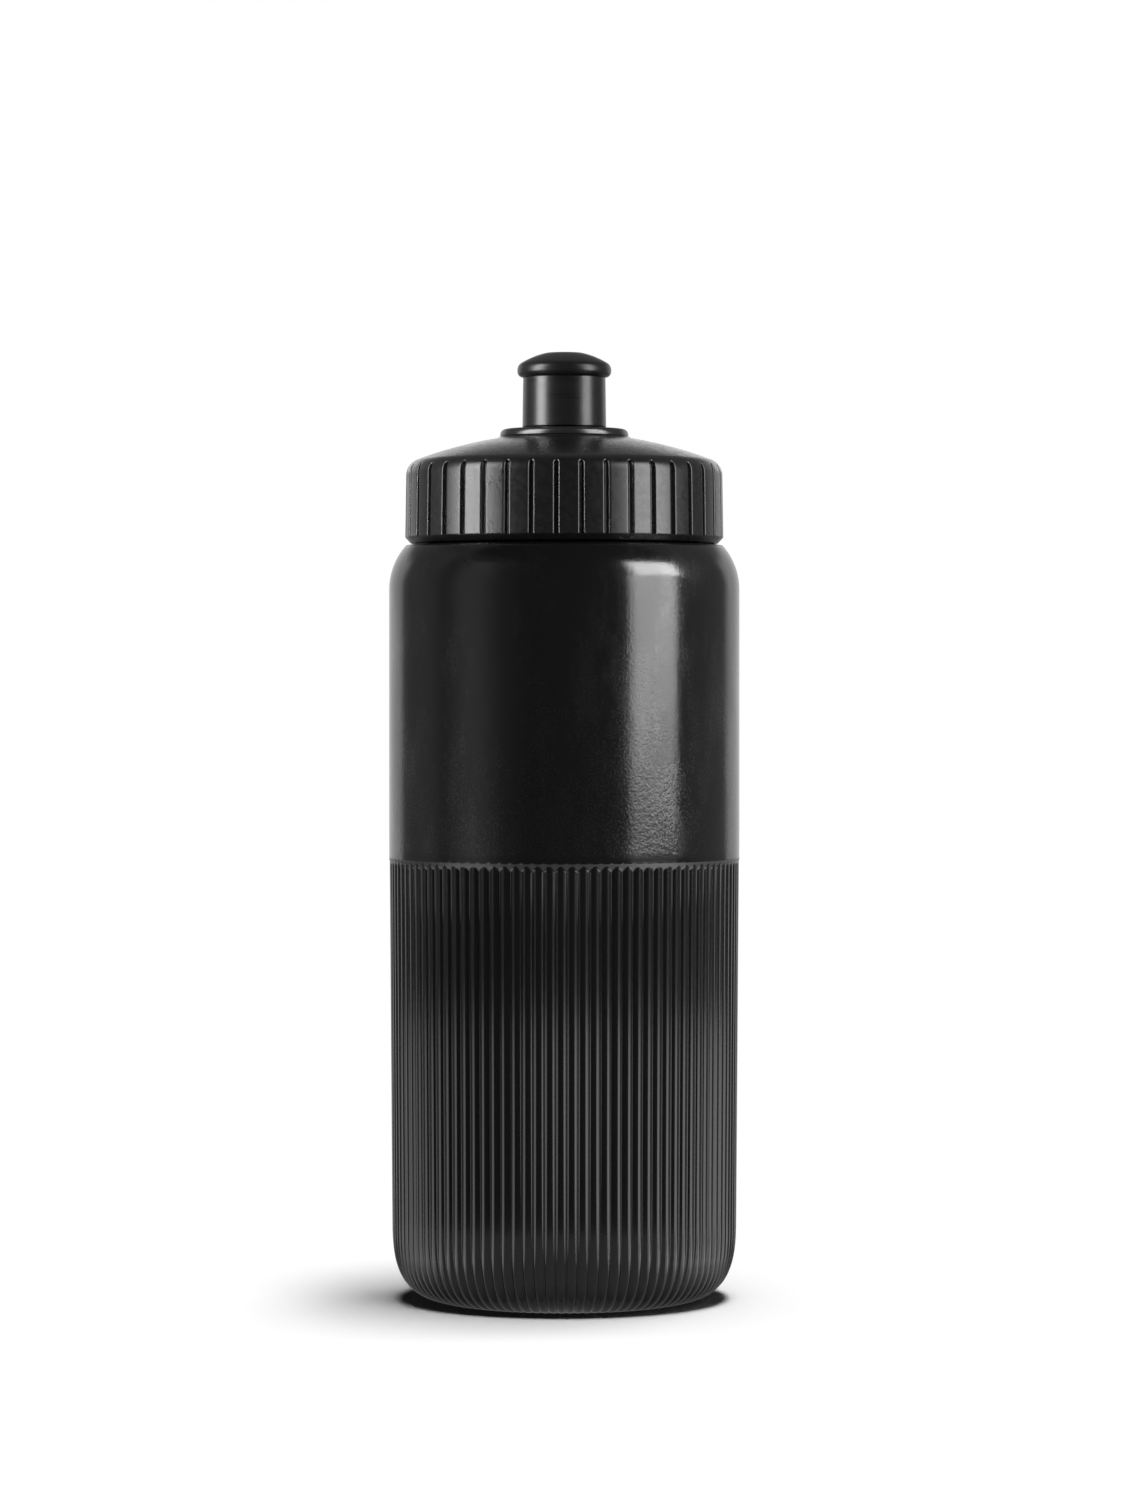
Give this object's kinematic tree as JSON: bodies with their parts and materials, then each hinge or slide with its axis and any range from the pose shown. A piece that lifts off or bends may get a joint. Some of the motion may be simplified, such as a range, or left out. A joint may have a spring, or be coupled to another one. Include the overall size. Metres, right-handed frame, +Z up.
{
  "type": "squeeze bottle",
  "caption": "Cylindrical squeeze drinking bottle with a ribbed lower wall, a screw lid and a push-pull spout.",
  "frame": {"origin": "on the bottle's axis, in the plane of the ring it stands on", "axes": "+Z up along the bottle's axis, towards the spout; -Y is the side shown as the front; the shape is round, so X and Y are otherwise free"},
  "size_m": [0.074, 0.074, 0.1996],
  "materials": {
    "bottle_wall": "soft gloss with a faint moulded waviness",
    "lid_satin": "satin, fine spark-eroded grain",
    "seal": "matte",
    "seat_gloss": "gloss",
    "sleeve_satin": "satin with fine turned lines",
    "soft_tip": "gloss"
  },
  "bodies": {
    "bottle": {"bottle": "bottle_wall"},
    "gasket": {"lid_gasket": "seal"},
    "lid": {"lid": "lid_satin", "spout_seat": "seat_gloss", "seat_seal": "seal"},
    "o_ring": {"sleeve_seal": "seal"},
    "spout": {"spout_sleeve": "sleeve_satin", "mouthpiece": "soft_tip"}
  },
  "joints": [
    {"name": "lid_lift", "type": "slide", "parent": "bottle", "child": "gasket", "axis": [0, 0, 1], "range_m": [0, 0.0161]},
    {"name": "lid_turn", "type": "hinge", "parent": "gasket", "child": "lid", "pos_m": [0, 0, 0.17], "axis": [0, 0, 1], "range_deg": [0, 720]},
    {"name": "spout_slide", "type": "slide", "parent": "lid", "child": "o_ring", "axis": [0, 0, 1], "range_m": [0, 0.005]},
    {"name": "spout_twist", "type": "hinge", "parent": "o_ring", "child": "spout", "pos_m": [0, 0, 0.19], "axis": [0, 0, 1], "continuous": true}
  ],
  "couplings": [
    {"joint": "lid_lift", "follows": "lid_turn", "m_per_rad": 0.0012732}
  ]
}
